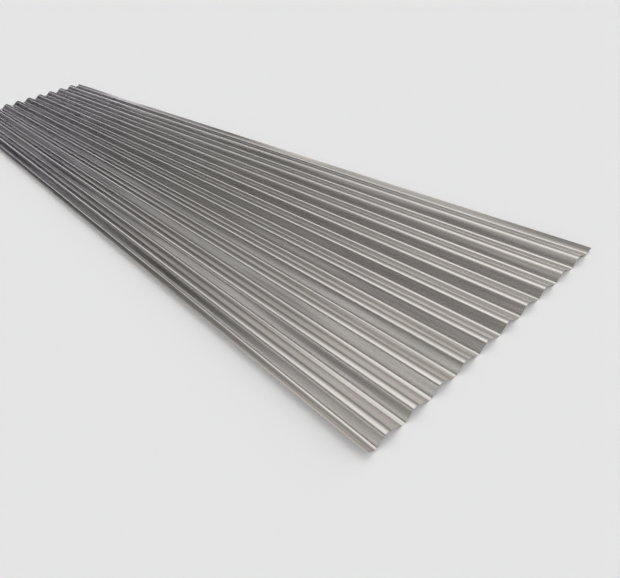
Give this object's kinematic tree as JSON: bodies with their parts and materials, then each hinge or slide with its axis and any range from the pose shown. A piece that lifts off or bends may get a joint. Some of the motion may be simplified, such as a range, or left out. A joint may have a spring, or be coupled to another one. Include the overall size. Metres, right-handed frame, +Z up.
{
  "type": "corrugated roofing sheet",
  "caption": "Long thin sheet of bare coated steel, rolled into even rounded ribs, laid over purlins to cover a roof or a wall.",
  "frame": {"origin": "under the middle trough at mid length, on the level that the sheet lies on", "axes": "+X along the ribs, towards the end nearest the camera; +Y across the ribs; +Z up, out of the weather side"},
  "size_m": [3.658, 0.8032, 0.0184],
  "materials": {
    "coated_steel": "bare zinc and aluminium coating, satin, with fine roll lines along the ribs"
  },
  "bodies": {
    "root": {"roofing_sheet": "coated_steel"}
  },
  "joints": []
}
